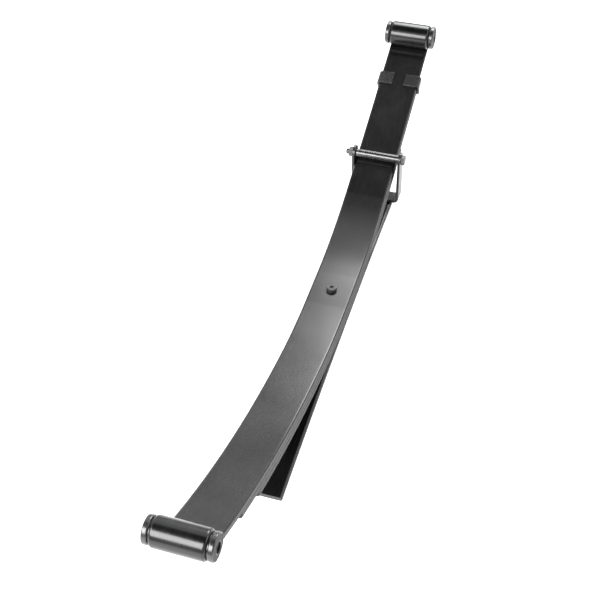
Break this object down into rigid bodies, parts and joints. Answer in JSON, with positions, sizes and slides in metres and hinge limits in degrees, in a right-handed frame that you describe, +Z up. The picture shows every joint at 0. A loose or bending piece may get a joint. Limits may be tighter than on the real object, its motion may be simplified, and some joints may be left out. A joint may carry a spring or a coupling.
{
  "type": "leaf spring",
  "caption": "Asymmetric leaf spring: nested curved leaves over a nearly flat helper leaf, up-turned eyes with flanged rubber bushes, a centre bolt, a bolted clip and a folded clip.",
  "frame": {"origin": "where the centre bolt's axis meets the top face of the main leaf", "axes": "+X towards the front eye, +Y to the left edge of the leaves, +Z up on the concave side, out of the axle seat"},
  "size_m": [0.9975, 0.0903, 0.2293],
  "materials": {
    "leaf_paint": "satin black paint over rolled steel",
    "clip_paint": "satin black paint over bent strip",
    "bolt_steel": "dark satin fastener steel",
    "spacer_steel": "satin steel tube",
    "sleeve_steel": "dull turned steel",
    "bush_rubber": "moulded black rubber"
  },
  "bodies": {
    "spring_pack": {"main_leaf": "leaf_paint", "second_leaf": "leaf_paint", "third_leaf": "leaf_paint", "helper_leaf": "leaf_paint", "centre_bolt": "bolt_steel", "centre_bolt_nut": "bolt_steel", "rear_bush_left": "bush_rubber", "rear_bush_right": "bush_rubber", "front_bush_left": "bush_rubber", "front_bush_right": "bush_rubber", "bolt_clip_strap": "clip_paint", "bolt_clip_rivet": "clip_paint", "clip_spacer_tube": "spacer_steel", "clip_bolt": "bolt_steel", "clip_bolt_nut": "bolt_steel", "wrap_clip_strap": "clip_paint", "wrap_clip_rivet": "clip_paint"},
    "front_sleeve": {"front_inner_sleeve": "sleeve_steel"},
    "rear_sleeve": {"rear_inner_sleeve": "sleeve_steel"}
  },
  "joints": [
    {"name": "front_sleeve_turn", "type": "hinge", "parent": "spring_pack", "child": "front_sleeve", "pos_m": [0.4496, 0, 0.12253], "axis": [0, 1, 0], "continuous": true},
    {"name": "rear_sleeve_turn", "type": "hinge", "parent": "spring_pack", "child": "rear_sleeve", "pos_m": [-0.51223, 0, 0.1717], "axis": [0, 1, 0], "continuous": true}
  ]
}
